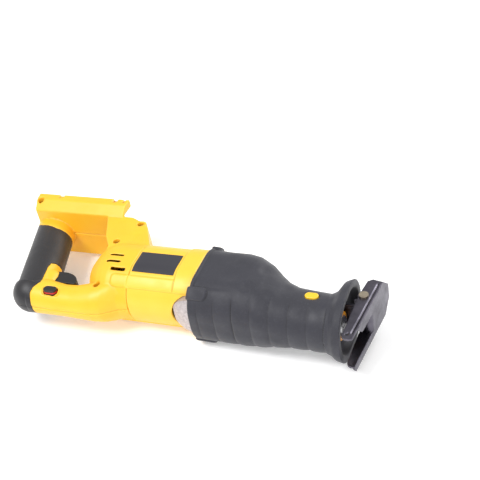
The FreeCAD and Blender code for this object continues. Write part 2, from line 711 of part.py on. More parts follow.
def gear_case():
    outer = case_outer()
    inner_stations = shrunk(boot_stations, boot_thickness + seat + case_wall)
    inner_stations[-1] = (nose_front - 28.0,) + inner_stations[-2][1:]
    inner_stations = inner_stations[:-1]
    hollow = join([loft(inner_stations),
                   barrel_block(plate_front - 10, boot_back + 1, wall + seat + case_wall)])
    body = outer.cut(hollow)
    body = body.cut(barrel_block(plate_back - 1, plate_front + 0.0, wall + seat - 0.05))
    y = plunger_axis_y
    # rear bushing boss hung from the top wall, front bearing web, bosses for the plate screws
    boss = rod_x(rear_bushing_back, rear_bushing_front, stub_radius + 6.0, y)
    hanger = box(rear_bushing_back, rear_bushing_front, -70, y, -6, 6)
    web = box(front_bearing_back, front_bearing_back + bearing_width, jack_axis_y - 11.0, 40, -40, 40)
    screw_bosses = [rod_x(plate_front, plate_front + 14, 4.4, py, pz) for py, pz in plate_screws()]
    body = join([body] + [piece.common(outer) for piece in [boss, hanger, web] + screw_bosses])
    tower = box(nose_front - 4, latch_at[0] + latch_half_straight + latch_radius + 2.2,
                latch_at[1] - latch_radius - 2.2, post_y - 1.6, sleeve_radius + 0.5, 40)
    neck = [(nose_front - 6,) + boot_stations[-1][1:], boot_stations[-1], lip_stations[0]]
    tower = tower.common(loft(shrunk(neck, boot_thickness + seat)))
    body = join([body, tower])
    cuts = [
        rod_x(rear_bushing_back - 1, rear_bushing_front + 1, stub_radius + 3.0, y),
        rod_x(front_bearing_back - 1, front_bearing_back + bearing_width, jack_bearing_radius, jack_axis_y),
        rod_x(nose_front - 40, nose_front + 1, plunger_radius + 0.4, y),
        rod_x(nose_front - 20, nose_front + 1, plunger_radius + 3.0, y),
        rod_x(plate_front - 1, boot_back + 4, stub_radius + 0.8, y),
        post_channel(),
        latch_pocket(),
    ]
    cuts += [rod_x(plate_front - 1, plate_front + 11, 1.65, py, pz) for py, pz in plate_screws()]
    for cutter in cuts:
        body = body.cut(cutter)
    nodes["gear_case"] = biggest(body.removeSplitter())


def plate_screws():
    return [(motor_axis_y + side_y * 27.5, side_z * 17.0) for side_y in (-1, 1) for side_z in (-1, 1)]


def bearing_plate():
    plate = barrel_block(plate_back, plate_front, wall + seat)
    cuts = [
        rod_x(plate_back - 1, plate_front + 1, motor_bearing_radius, motor_axis_y),
        rod_x(plate_back + 2.0, plate_front + 1, jack_bearing_radius, jack_axis_y),
        rod_x(plate_front - 3.0, plate_front + 1, stub_radius + 1.0, plunger_axis_y),
    ]
    cuts += [rod_x(plate_back - 1, plate_front + 1, 1.7, py, pz) for py, pz in plate_screws()]
    for cutter in cuts:
        plate = plate.cut(cutter)
    nodes["bearing_plate"] = biggest(plate)
    screws = []
    for py, pz in plate_screws():
        head = rod_x(plate_back - 2.6, plate_back, 3.2, py, pz)
        head = head.cut(rod_x(plate_back - 3, plate_back - 1.4, 1.4, py, pz))
        screws.append(head.fuse(rod_x(plate_back - 0.5, plate_front + 10.5, 1.6, py, pz)))
    nodes["gear_case_screws"] = Part.makeCompound(screws)


def bushings():
    y = plunger_axis_y
    nodes["plunger_rear_bushing"] = tube_x(rear_bushing_back, rear_bushing_front, stub_radius + 3.0,
                                           stub_radius + running, y)
    nodes["plunger_front_bushing"] = tube_x(nose_front - 14, nose_front - 0.2, plunger_radius + 3.0,
                                            plunger_radius + running, y)
    nodes["plunger_wiper"] = tube_x(nose_front - 20, nose_front - 14, plunger_radius + 3.0,
                                    plunger_radius + 0.08, y)
    nodes["jackshaft_rear_bearing"] = tube_x(plate_back + 2.0, plate_front - 0.2, jack_bearing_radius,
                                             jackshaft_radius + running, jack_axis_y)
    nodes["jackshaft_front_bearing"] = tube_x(front_bearing_back, front_bearing_back + bearing_width - 0.1,
                                              jack_bearing_radius, jackshaft_radius + running, jack_axis_y)


def post_channel():
    half = post_thickness / 2 + gap
    return box(post_back - 6, nose_front + 1, post_y - half, post_y + half, -post_half_width - gap,
               post_half_width + gap)


def latch_pocket():
    x, y = latch_at
    return oval_z(post_half_width + 0.6, 60, latch_radius + gap, latch_half_straight, x, y)


def rubber_boot():
    outer = loft(boot_stations).fuse(loft([boot_stations[-1]] + lip_stations))
    inner = loft(shrunk(boot_stations, boot_thickness))
    inner_lip = [shrunk([boot_stations[-1]], boot_thickness)[0]]
    inner_lip += shrunk(lip_stations[:1], boot_thickness) + shrunk(lip_stations[1:], lip_thickness)
    x, top, bottom, half, corner = inner_lip[-1]
    inner_lip.append((x + 2, top, bottom, half, corner))
    body = outer.cut(inner).cut(loft(inner_lip))
    body = body.cut(loft(shrunk([(boot_back - 2,) + boot_stations[0][1:], boot_stations[0]], boot_thickness)))
    x, y = latch_at
    body = body.cut(oval_z(5, 60, latch_radius + gap, latch_half_straight, x, y))
    nodes["rubber_boot"] = biggest(body.removeSplitter())


def shoe_latch():
    x, y = latch_at
    top = boot_skin_at_latch + latch_travel
    button = oval_z(18.6, top, latch_radius, latch_half_straight, x, y)
    rims = [e for e in button.Edges if e.BoundBox.ZMin > top - 0.01]
    nodes["shoe_latch"] = button.makeFillet(1.0, rims)
    nodes["latch_spring"] = coil_z(1.9, 0.6, post_half_width + 0.8, 18.4, 4, x, y)


# ---------------------------------------------------------------- shoe


def shoe_post():
    y0, y1 = post_y - post_thickness / 2, post_y + post_thickness / 2
    bar = box(post_back, shoe_pivot_x, y0, y1, -post_half_width, post_half_width)
    inner_half = shoe_half_width - shoe_sheet - gap
    yoke = box(shoe_pivot_x - 8.0, shoe_pivot_x, y0, y1, -inner_half, inner_half)
    eye = rod_z(-inner_half, inner_half, 4.6, shoe_pivot_x, shoe_pivot_y)
    body = join([bar, yoke, eye])
    for notch in range(4):
        x = post_back + 14 + 6.3 * notch
        body = body.cut(rod_z(post_half_width - 2.0, post_half_width + 1, 1.6, x, post_y))
    nodes["shoe_post"] = body.cut(rod_z(-40, 40, rivet_radius + running, shoe_pivot_x, shoe_pivot_y))


def shoe():
    # made square to x about the pivot, then leaned forward
    half, sheet = shoe_half_width, shoe_sheet
    face_back, face_front = shoe_face_ahead - sheet, shoe_face_ahead
    taper = 13.0
    plate_outline = [(shoe_top + 3, -half), (shoe_bottom - taper, -half), (shoe_bottom, -half + taper),
                     (shoe_bottom, half - taper), (shoe_bottom - taper, half), (shoe_top + 3, half),
                     (shoe_top, half - 5), (shoe_top, -half + 5)]
    plate = prism_x(plate_outline, face_back, face_front)
    pieces = [plate]
    for sign in (-1, 1):
        top = shoe_top if sign > 0 else shoe_top + 5
        side = [(face_front, shoe_bottom - taper), (0, shoe_bottom - taper + 1),
                (-4.2, shoe_bottom - taper - 3), (-4.8, 8), (-4.8, -12), (-3.0, -30), (-1.5, -45),
                (-1.5, top + 5), (0.5, top + 1.2), (3, top), (6.5, top), (9.3, top + 1.6),
                (face_front, top + 5)]
        z0, z1 = (half - sheet, half) if sign > 0 else (-half, -half + sheet)
        cheek = prism_z(side, z0, z1).fuse(rod_z(z0, z1, 6.2, 0, 0))
        pieces.append(cheek)
    # the far end of the blade slot is rolled inwards
    roll_back = face_front - roll_radius
    roll = rod_z(slot_low, slot_high, roll_radius, roll_back, slot_end)
    roll = roll.cut(rod_z(slot_low - 1, slot_high + 1, roll_radius - sheet, roll_back, slot_end))
    # blade slot, open towards the top edge of the tool, its left prong cut short on a slant
    window = [(slot_end, slot_low), (slot_end, slot_high), (prong_end, slot_high),
              (prong_end - 10, half - sheet), (shoe_top - 2, half - sheet), (shoe_top - 2, slot_low)]
    body = join(pieces).cut(prism_x(window, face_back - 1, face_front + 1))
    body = body.fuse(roll.common(box(roll_back, face_front, -40, slot_end + 0.2, -half, half)))
    body = body.cut(rod_z(-40, 40, rivet_radius, 0, 0))
    body = body.cut(rod_z(half - sheet - 1, half + 1, 2.0, 3.4, shoe_top + 7))
    body.rotate(V(0, 0, 0), V(0, 0, 1), -shoe_tilt)
    body.translate(V(shoe_pivot_x, shoe_pivot_y, 0))
    nodes["shoe"] = body
    heads = [rod_z(half, half + 1.8, 4.6, shoe_pivot_x, shoe_pivot_y),
             rod_z(-half - 1.8, -half, 4.6, shoe_pivot_x, shoe_pivot_y),
             rod_z(-half - 0.5, half + 0.5, rivet_radius, shoe_pivot_x, shoe_pivot_y)]
    nodes["shoe_rivet"] = join(heads)


nodes = {}
makers = [
    handle_shells, motor_barrel, label_plate, housing_screws, terminal_parts, switch_body, trigger,
    lock_button, motor_stator, armature, wobble_drive, plunger_group, gear_case, bearing_plate, bushings,
    rubber_boot, shoe_latch, shoe_post, shoe,
]
for maker in makers:
    maker()

whole = Part.makeCompound(list(nodes.values())).optimalBoundingBox(False, False)
shift = V(-(whole.XMin + whole.XMax) / 2, -(whole.YMin + whole.YMax) / 2, -whole.ZMin)

os.makedirs("parts", exist_ok=True)
for name, shape in nodes.items():
    shape.translate(shift)
    shape.exportStep("parts/" + name + ".step")
print(len(nodes), "nodes, size", round(whole.XLength, 1), round(whole.YLength, 1), round(whole.ZLength, 1),
      "shift", [round(v, 3) for v in shift])
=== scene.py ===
import math
import bpy
import numpy as np
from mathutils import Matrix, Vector


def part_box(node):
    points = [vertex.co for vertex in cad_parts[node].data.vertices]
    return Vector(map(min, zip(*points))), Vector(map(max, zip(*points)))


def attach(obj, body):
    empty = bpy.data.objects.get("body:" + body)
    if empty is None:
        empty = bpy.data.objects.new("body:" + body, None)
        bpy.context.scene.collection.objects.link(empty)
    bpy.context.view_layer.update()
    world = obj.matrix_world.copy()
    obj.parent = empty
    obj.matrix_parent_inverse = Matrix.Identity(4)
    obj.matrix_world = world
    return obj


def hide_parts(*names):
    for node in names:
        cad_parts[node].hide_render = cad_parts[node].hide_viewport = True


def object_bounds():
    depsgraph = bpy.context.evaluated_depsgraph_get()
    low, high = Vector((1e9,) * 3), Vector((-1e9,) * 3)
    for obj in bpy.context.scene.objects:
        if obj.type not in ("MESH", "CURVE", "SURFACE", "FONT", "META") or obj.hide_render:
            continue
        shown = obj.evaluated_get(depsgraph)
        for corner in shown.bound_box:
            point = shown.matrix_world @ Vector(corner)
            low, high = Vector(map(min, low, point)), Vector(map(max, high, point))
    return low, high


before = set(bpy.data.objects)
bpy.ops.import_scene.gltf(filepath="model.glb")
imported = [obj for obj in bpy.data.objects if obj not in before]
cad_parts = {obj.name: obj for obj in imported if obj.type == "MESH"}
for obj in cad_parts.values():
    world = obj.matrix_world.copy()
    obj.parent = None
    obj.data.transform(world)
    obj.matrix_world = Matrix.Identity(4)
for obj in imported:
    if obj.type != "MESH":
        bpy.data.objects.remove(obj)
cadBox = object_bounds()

mm = 0.001
bootRear = 33.3        # x of the boot's rear end in the saw's own drawing, in millimetres
motorAxis = -13.2      # y of the motor shaft there; the parting plane is z = 0
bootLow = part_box("rubber_boot")[0]
shaftLow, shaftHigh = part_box("motor_shaft")
origin = np.array([bootLow[0] - bootRear * mm, (shaftLow[1] + shaftHigh[1]) / 2 - motorAxis * mm,
                   (shaftLow[2] + shaftHigh[2]) / 2])
print("frame loaded,", len(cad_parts), "nodes")


def linearColour(code):
    # sRGB byte v: v/12.92 below 0.04045, else ((v + 0.055) / 1.055) ** 2.4
    parts = [int(code[i:i + 2], 16) / 255 for i in (1, 3, 5)]
    return [v / 12.92 if v <= 0.04045 else ((v + 0.055) / 1.055) ** 2.4 for v in parts] + [1.0]


def addNode(tree, kind, links=None, **values):
    # one node with its settings; values named in_0, in_Scale and so on go to its sockets
    node = tree.nodes.new(kind)
    for key, value in values.items():
        if key.startswith("in_"):
            name = key[3:].replace("_", " ")
            node.inputs[int(name) if name.isdigit() else name].default_value = value
        else:
            setattr(node, key, value)
    for socket, source in (links or {}).items():
        tree.links.new(source, node.inputs[socket])
    return node


def startMaterial(name, roughness, metallic=0.0, ior=None):
    material = bpy.data.materials.new(name)
    material.use_nodes = True
    tree = material.node_tree
    shader = tree.nodes["Principled BSDF"]
    shader.inputs["Roughness"].default_value = roughness
    shader.inputs["Metallic"].default_value = metallic
    if ior:
        shader.inputs["IOR"].default_value = ior
    where = addNode(tree, "ShaderNodeTexCoord").outputs["Object"]
    return material, tree, shader, where


def ramp(tree, source, low, high, fromLow=0.3, fromHigh=0.7):
    # maps fromLow..fromHigh of the source to low..high, for roughness and masks
    return addNode(tree, "ShaderNodeMapRange", {0: source}, in_1=fromLow, in_2=fromHigh, in_3=low,
                   in_4=high).outputs[0]


def mixColour(tree, factor, first, second):
    node = addNode(tree, "ShaderNodeMix", {0: factor}, data_type="RGBA")
    for socket, value in ((6, first), (7, second)):
        if isinstance(value, list):
            node.inputs[socket].default_value = value
        else:
            tree.links.new(value, node.inputs[socket])
    return node.outputs[2]


def noise(tree, where, size, detail=3.0, rough=0.5):
    # size is the width of one patch in millimetres
    return addNode(tree, "ShaderNodeTexNoise", {"Vector": where}, in_Scale=1 / (size * mm), in_Detail=detail,
                   in_Roughness=rough).outputs[0]


def bump(tree, shader, height, depth, strength):
    # depth in millimetres
    node = addNode(tree, "ShaderNodeBump", {"Height": height}, in_Strength=strength, in_Distance=depth * mm)
    tree.links.new(node.outputs[0], shader.inputs["Normal"])


edgeWearAndShade = {
    "worn": (-0.16, -0.03),      # cavity where an outer edge is rubbed fully bright, and where that ends
    "paintedCreaseShade": (0.025, 0.15),     # cavity where the painted shade starts in a corner, and where it is full
}


def worn(tree, amount):
    # brighter on outer edges, where hands and benches rub; cavity is below zero there
    edge = addNode(tree, "ShaderNodeAttribute", attribute_name="cavity").outputs["Fac"]
    return ramp(tree, edge, amount, 0.0, *edgeWearAndShade["worn"])


def paintedCreaseShade(tree, amount):
    # concave corners are painted darker: painted shade, standing in for the shade that falls in creases
    edge = addNode(tree, "ShaderNodeAttribute", attribute_name="cavity").outputs["Fac"]
    return ramp(tree, edge, 0.0, amount, *edgeWearAndShade["paintedCreaseShade"])


nylonLook = {
    "ior": 1.53,
    "mottle": 38,            # width of one patch of deeper colour, in millimetres
    "glossPatch": 14,        # width of one glossier patch
    "glassHaze": 0.10,       # how much the glass near the surface lightens the grain's tops
    "grainDepth": 0.035,
}


def nylon(name, colour, deep, light, roughness=(0.36, 0.5), grain=0.45, creaseShadeColour="#8a5a10"):
    # glass-filled nylon moulded against a spark-eroded tool: satin, finely pebbled, a little glass haze
    material, tree, shader, where = startMaterial(name, roughness[0], ior=nylonLook["ior"])
    broad = noise(tree, where, nylonLook["mottle"], 3)
    fine = noise(tree, where, grain, 2)
    base = mixColour(tree, ramp(tree, broad, 0, 0.55), linearColour(colour), linearColour(deep))
    haze = ramp(tree, fine, 0, nylonLook["glassHaze"], 0.45, 0.7)
    base = mixColour(tree, haze, base, linearColour(light))
    base = mixColour(tree, worn(tree, 0.35), base, linearColour(light))
    # painted shade: concave corners are mixed towards a darker copy of the colour
    base = mixColour(tree, paintedCreaseShade(tree, 0.6), base, linearColour(creaseShadeColour))
    tree.links.new(base, shader.inputs["Base Color"])
    gloss = ramp(tree, noise(tree, where, nylonLook["glossPatch"], 4), *roughness)
    tree.links.new(gloss, shader.inputs["Roughness"])
    bump(tree, shader, fine, nylonLook["grainDepth"], 0.6)
    return material


mattLook = {
    "ior": 1.5,
    "mottle": 30,            # width of one patch of deeper colour, in millimetres
    "dustPatch": 2.2,
    "dustAmount": 0.35,
    "sheen": 0.12,
    "sheenRoughness": 0.5,
    # the near-black that concave corners are painted with: painted shade
    "creaseShadeColour": "#0d0d0f",
}


def mattFinish(name, colour, deep, dust, roughness=(0.5, 0.7), grain=0.6, depth=0.06):
    # moulded rubber, felt and pressed powder: no clear gloss, a soft sheen, patches dulled by a trace of dust
    material, tree, shader, where = startMaterial(name, roughness[0], ior=mattLook["ior"])
    broad = noise(tree, where, mattLook["mottle"], 4, 0.6)
    fine = noise(tree, where, grain, 2)
    base = mixColour(tree, ramp(tree, broad, 0, 0.7), linearColour(colour), linearColour(deep))
    dusty = noise(tree, where, mattLook["dustPatch"], 5, 0.7)
    speck = ramp(tree, dusty, 0, mattLook["dustAmount"], 0.52, 0.75)
    base = mixColour(tree, speck, base, linearColour(dust))
    base = mixColour(tree, worn(tree, 0.3), base, linearColour(dust))
    # painted shade: concave corners are mixed towards that near-black
    base = mixColour(tree, paintedCreaseShade(tree, 0.75), base, linearColour(mattLook["creaseShadeColour"]))
    tree.links.new(base, shader.inputs["Base Color"])
    tree.links.new(ramp(tree, broad, *roughness), shader.inputs["Roughness"])
    shader.inputs["Sheen Weight"].default_value = mattLook["sheen"]
    shader.inputs["Sheen Roughness"].default_value = mattLook["sheenRoughness"]
    bump(tree, shader, fine, depth, 0.6)
    return material


# the dark colour that concave corners of bare metal are painted with: painted shade
metalLook = {"creaseShadeColour": "#2a2624"}


def metal(name, colour, dull, roughness=(0.25, 0.42), streak=(1, 1, 1), cloudSize=9, grain=0.35, depth=0.02):
    # bare metal: streak stretches the tool marks along the way it was ground or drawn
    material, tree, shader, where = startMaterial(name, roughness[0], metallic=1.0)
    along = addNode(tree, "ShaderNodeMapping", {"Vector": where}, in_Scale=streak).outputs[0]
    marks = noise(tree, along, grain, 3)
    cloud = noise(tree, where, cloudSize, 4, 0.6)
    base = mixColour(tree, ramp(tree, cloud, 0, 0.8), linearColour(colour), linearColour(dull))
    # painted shade: concave corners are mixed towards that dark colour
    base = mixColour(tree, paintedCreaseShade(tree, 0.7), base, linearColour(metalLook["creaseShadeColour"]))
    tree.links.new(base, shader.inputs["Base Color"])
    both = addNode(tree, "ShaderNodeMath", {0: marks, 1: cloud}, operation="ADD").outputs[0]
    tree.links.new(ramp(tree, both, *roughness, 0.7, 1.3), shader.inputs["Roughness"])
    bump(tree, shader, marks, depth, 0.5)
    return material


# moulded nylon and acetal: satin or slightly glossy, even in colour, edges a touch lighter
# the last colour given, or the default, is the darker copy that creases are painted with: painted shade
yellowNylon = nylon("glass-filled nylon, yellow, spark-eroded", "#f9c02c", "#f3b21a", "#ffd65e")
# the barrel's yellow is the shells' yellow painted a touch lighter: painted light for its brighter lit near
# side
barrelNylonPaintedLighter = nylon("glass-filled nylon, yellow, barrel, painted lighter", "#fac63c", "#f5bc2a", "#ffdc72")
blackNylon = nylon("glass-filled nylon, black, spark-eroded", "#1c1c1e", "#151516", "#3a3a3d",
                   (0.38, 0.55), creaseShadeColour="#0b0b0c")
redPlastic = nylon("acetal, red, moulded", "#c8161a", "#b01014", "#e04040", (0.25, 0.35), creaseShadeColour="#4a0a0a")
orangePlastic = nylon("acetal, orange-yellow, moulded", "#f7a511", "#ee950a", "#ffc040", (0.25, 0.38))
buttonPlastic = nylon("acetal, yellow, moulded", "#f2c52e", "#e7b822", "#ffdb66", (0.25, 0.36))
# a blank printed film: darker and smoother than what it is stuck to
# its last colour is the painted shade in its creases
labelFilm = nylon("polycarbonate label, dark, screen printed", "#34333a", "#2e2d33", "#45444b",
                  (0.3, 0.42), 0.8, "#1a1a1c")
# rubbers: the grip is stippled and a little shinier from hands, the boot is duller and bluer
gripRubber = mattFinish("thermoplastic elastomer, charcoal, stippled grip", "#1f1e22", "#19181b", "#3a393e",
                        (0.42, 0.58), 0.9, 0.09)
bootRubber = mattFinish("thermoplastic elastomer, blue-grey boot", "#2c2c35", "#25252d", "#45454e")
# blasting leaves the casting pale and evenly rough; its 0.9 mm grain is drawn coarse enough to show
castAluminium = metal("die-cast aluminium, bead blasted", "#d6cfcf", "#b3abac", (0.5, 0.7),
                      cloudSize=2.4, grain=0.9, depth=0.2)
# the shoe's plating is dark with a soft shine, its marks drawn out along the saw
gunSteel = metal("pressed steel, black nickel plated", "#6c6973", "#4a4850", (0.26, 0.44),
                 (0.15, 1, 1), 12, 0.5)
# ground shafts and gears are bright, with marks along them; plated screws are warmer and cloudier
groundSteel = metal("alloy steel, ground", "#c4c4c6", "#9b9b9e", (0.18, 0.34), (0.1, 1, 1), 8, 0.3)
zincSteel = metal("steel, zinc plated", "#b9ad98", "#8d8375", (0.3, 0.48), cloudSize=3, grain=0.3)
springSteel = metal("spring steel, drawn wire", "#8f8f93", "#6d6d70", (0.25, 0.4), cloudSize=3, grain=0.3)
bronze = metal("sintered bronze", "#a77b45", "#7f5a30", (0.4, 0.6), cloudSize=2, grain=0.3, depth=0.05)
copper = metal("enamelled copper wire", "#c06a36", "#8f4a24", (0.25, 0.4), (1, 0.3, 1), 3, 0.5, 0.1)
brass = metal("pressed brass", "#c9a45a", "#a07d3c", (0.2, 0.4), cloudSize=4, grain=0.3)
lamination = metal("electrical steel, laminated", "#77787b", "#4f5053", (0.35, 0.5),
                   (4, 0.2, 0.2), 4, 0.5, 0.08)
# matt insides: felt scatters light, ferrite and graphite are dark and dense
feltGrey = mattFinish("pressed wool felt", "#5a574f", "#4a4741", "#77736a", (0.8, 0.95), 0.5, 0.2)
ferrite = mattFinish("sintered ferrite", "#2f2f33", "#262629", "#444449", (0.6, 0.75), 0.4, 0.03)
graphite = mattFinish("pressed graphite", "#262626", "#1d1d1d", "#3a3a3a", (0.35, 0.5), 0.4, 0.03)
print("materials made")

finishes = {
    "handle_shell_left": yellowNylon, "handle_shell_right": yellowNylon, "grip_rubber_left": gripRubber,
    "grip_rubber_right": gripRubber, "motor_barrel": barrelNylonPaintedLighter, "label_plate": labelFilm,
    "housing_screws": zincSteel, "terminal_block": blackNylon, "terminal_blades": brass,
    "motor_controller": blackNylon, "switch_body": blackNylon, "trigger": blackNylon,
    "trigger_spring": springSteel, "lock_button": blackNylon, "lock_ring": redPlastic,
    "motor_can": lamination, "motor_magnets": ferrite, "brush_ring": blackNylon, "brush_holders": brass,
    "carbon_brushes": graphite, "motor_rear_bearing": groundSteel, "motor_front_bearing": groundSteel,
    "motor_shaft": groundSteel, "armature_core": lamination, "armature_windings": copper,
    "commutator": copper, "cooling_fan": blackNylon, "drive_pinion": groundSteel, "jackshaft": groundSteel,
    "drive_gear": groundSteel, "wobble_drum": groundSteel, "wobble_balls": groundSteel,
    "wobble_arm": groundSteel, "plunger": groundSteel, "blade_clamp": groundSteel, "clamp_pin": groundSteel,
    "clamp_spring": springSteel, "clamp_lever": orangePlastic, "gear_case": castAluminium,
    "bearing_plate": castAluminium, "gear_case_screws": zincSteel, "plunger_rear_bushing": bronze,
    "plunger_front_bushing": bronze, "plunger_wiper": feltGrey, "jackshaft_rear_bearing": groundSteel,
    "jackshaft_front_bearing": groundSteel, "rubber_boot": bootRubber, "shoe_latch": buttonPlastic,
    "latch_spring": springSteel, "shoe_post": gunSteel, "shoe": gunSteel, "shoe_rivet": zincSteel,
}
for node, material in finishes.items():
    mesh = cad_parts[node].data
    mesh.materials.clear()
    mesh.materials.append(material)


def applied(piece):
    # the piece's modifiers become its mesh
    graph = bpy.context.evaluated_depsgraph_get()
    mesh = bpy.data.meshes.new_from_object(piece.evaluated_get(graph))
    piece.modifiers.clear()
    old = piece.data
    piece.data = mesh
    bpy.data.meshes.remove(old)


def readPoints(mesh):
    points = np.empty(len(mesh.vertices) * 3, np.float32)
    mesh.vertices.foreach_get("co", points)
    normals = np.empty(len(mesh.vertices) * 3, np.float32)
    mesh.vertex_normals.foreach_get("vector", normals)
    return points.reshape(-1, 3).astype(float), normals.reshape(-1, 3).astype(float)


def addCavity(mesh, points, normals, voxel):
    # how far each point lies below its neighbours, in edge lengths: above zero in creases, below on edges
    pairs = np.empty(len(mesh.edges) * 2, np.int32)
    mesh.edges.foreach_get("vertices", pairs)
    first, second = pairs.reshape(-1, 2).T
    ends, others = np.concatenate([first, second]), np.concatenate([second, first])
    count = np.maximum(np.bincount(ends, minlength=len(points)), 1)
    height = np.einsum("ij,ij->i", points[others] - points[ends], normals[ends]) / (voxel * mm)
    cavity = np.bincount(ends, height, len(points)) / count
    for blurRound in range(2):
        cavity = (cavity + np.bincount(ends, cavity[others], len(points)) / count) / 2
    mesh.attributes.new("cavity", "FLOAT", "POINT").data.foreach_set("value", cavity.astype(np.float32))


def carve(piece, low, high):
    # cuts the box between two corners, given in millimetres from the saw's own origin
    faces = [(0, 1, 3, 2), (4, 6, 7, 5), (0, 4, 5, 1), (2, 3, 7, 6), (0, 2, 6, 4), (1, 5, 7, 3)]
    corners = [(x, y, z) for x in (low[0], high[0]) for y in (low[1], high[1]) for z in (low[2], high[2])]
    mesh = bpy.data.meshes.new("slit")
    mesh.from_pydata([tuple(origin + np.array(corner) * mm) for corner in corners], [], faces)
    cutter = bpy.data.objects.new("slit", mesh)
    bpy.context.scene.collection.objects.link(cutter)
    cut = piece.modifiers.new("slit", "BOOLEAN")
    cut.operation = "DIFFERENCE"
    cut.object = cutter
    cut.solver = "EXACT"
    applied(piece)
    bpy.data.objects.remove(cutter)
    bpy.data.meshes.remove(mesh)


weldGap = 0.004        # points of a node's loose triangles nearer than this are one point, in millimetres


def softened(name, node, body, voxel, rounds, shape=None, slits=()):
    # a merged copy of the node, its corners rounded by a fine even mesh and a few rounds of averaging,
    # then each point moved along its normal by shape(x, y, z, normal) millimetres
    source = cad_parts[node]
    piece = bpy.data.objects.new(name, source.data.copy())
    bpy.context.scene.collection.objects.link(piece)
    weld = piece.modifiers.new("weld", "WELD")
    weld.merge_threshold = weldGap * mm
    remesh = piece.modifiers.new("even mesh", "REMESH")
    remesh.mode = "VOXEL"
    remesh.voxel_size = voxel * mm
    remesh.use_smooth_shade = True
    smooth = piece.modifiers.new("round corners", "SMOOTH")
    smooth.factor = 0.5
    smooth.iterations = rounds
    applied(piece)
    for low, high in slits:
        carve(piece, low, high)
    if shape:
        points, normals = readPoints(piece.data)
        x, y, z = ((points - origin) / mm).T
        points += normals * (shape(x, y, z, normals) * mm)[:, None]
        points = np.clip(points, cadBox[0], cadBox[1])
        piece.data.vertices.foreach_set("co", points.astype(np.float32).ravel())
        piece.data.update()
    points, normals = readPoints(piece.data)
    addCavity(piece.data, points, normals, voxel)
    piece.data.materials.clear()
    piece.data.materials.append(finishes[node])
    piece.data.polygons.foreach_set("use_smooth", np.ones(len(piece.data.polygons), bool))
    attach(piece, body)
    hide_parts(node)
    print(name, len(piece.data.polygons), "faces")


def ease(v, start, end):
    # 0 before start, 1 after end, 3t^2 - 2t^3 between
    t = np.clip((v - start) / (end - start), 0, 1)
    return t * t * (3 - 2 * t)


def patch(u, v, uLow, uHigh, vLow, vHigh, corner, edge):
    # 1 inside a rounded rectangle, 0 outside, easing over edge millimetres across its outline
    a = np.abs(u - (uLow + uHigh) / 2) - (uHigh - uLow) / 2 + corner
    b = np.abs(v - (vLow + vHigh) / 2) - (vHigh - vLow) / 2 + corner
    distance = np.hypot(np.maximum(a, 0), np.maximum(b, 0)) + np.minimum(np.maximum(a, b), 0) - corner
    return ease(-distance, -edge / 2, edge / 2)


def dent(u, v, centre, radius):
    # a round hollow, cos-shaped: 1 at its centre, 0 at radius
    r = np.hypot(u - centre[0], v - centre[1]) / radius
    return np.where(r < 1, 0.5 + 0.5 * np.cos(math.pi * r), 0)


def basin(u, v, corners, slope):
    # 1 well inside a convex outline given anticlockwise, 0 outside, each side easing over slope millimetres
    depth = np.ones(len(u))
    for (u0, v0), (u1, v1) in zip(corners, corners[1:] + corners[:1]):
        length = math.hypot(u1 - u0, v1 - v0)
        depth *= ease(((u1 - u0) * (v - v0) - (v1 - v0) * (u - u0)) / length, 0, slope)
    return depth


# lengths are in millimetres from the saw's own origin: x to the blade, y to the foot, z to the left half.
# each shape function sums heights made of the four masks above, and facesOut is the share of a normal
# that points outwards, over which the detail comes in
shellDetail = {
    "voxel": 0.95,
    "rounds": 3,
    "facesOut": (0.0, 0.3),
    "flank": (8, 14),                        # height above the parting plane over which the detail starts
    "panel": (-57.5, 60, -47.0, -37.5),      # raised band that runs on along the barrel
    "panelFrom": -60,
    "panelCorner": 3.5,
    "panelEdge": 0.9,
    "panelHeight": 1.1,
    "lockPad": (-134.0, -113.5, -63.0, -52.5),
    "lockCorner": 3.5,
    "lockEdge": 1.2,
    "lockDepth": 0.7,
    "strutPocket": [(-71, 10), (-38, 8), (-42, 32), (-58, 47), (-69, 43), (-75, 26)],
    "strutSlope": 13,
    "strutFlank": (14, 26),
    "strutDepth": 2.2,
    "rimNotches": [(-178, 3.5, 1.5), (-108, 3.0, 2.5), (-97, 2.0, 1.5)],   # centre, half width, depth
    "rimNotchEdge": 1.2,
    "rimHeight": (72, 75),
    "rimFlank": (33, 35),
    "vents": [(-62.5, -12.5, 1.0), (-62.0, -22.4, 1.0), (-53.0, -31.6, 1.6)],   # centre x, y, half width
    "ventHalfLength": 8.3,
    "ventReach": (1, 45),                    # the vents are cut from just off the parting plane outwards
}


def shapeShell(x, y, z, normal):
    # raised panel, shallow pad under the lock button, pocket in the strut, nicks along the rim of the foot
    shell = shellDetail
    side = np.abs(z)
    flank = ease(side, *shell["flank"])
    panel = patch(x, y, *shell["panel"], shell["panelCorner"], shell["panelEdge"])
    amount = shell["panelHeight"] * panel * flank * (x > shell["panelFrom"])
    pad = patch(x, y, *shell["lockPad"], shell["lockCorner"], shell["lockEdge"])
    amount -= shell["lockDepth"] * pad * flank
    pocket = basin(x, y, shell["strutPocket"], shell["strutSlope"])
    outward = ease(normal[:, 2] * np.sign(z), *shell["facesOut"])
    amount -= pocket * shell["strutDepth"] * ease(side, *shell["strutFlank"]) * outward
    rim = ease(y, *shell["rimHeight"]) * ease(side, *shell["rimFlank"])
    for centre, half, depth in shell["rimNotches"]:
        amount -= depth * ease(half - np.abs(x - centre), 0, shell["rimNotchEdge"]) * rim
    return amount


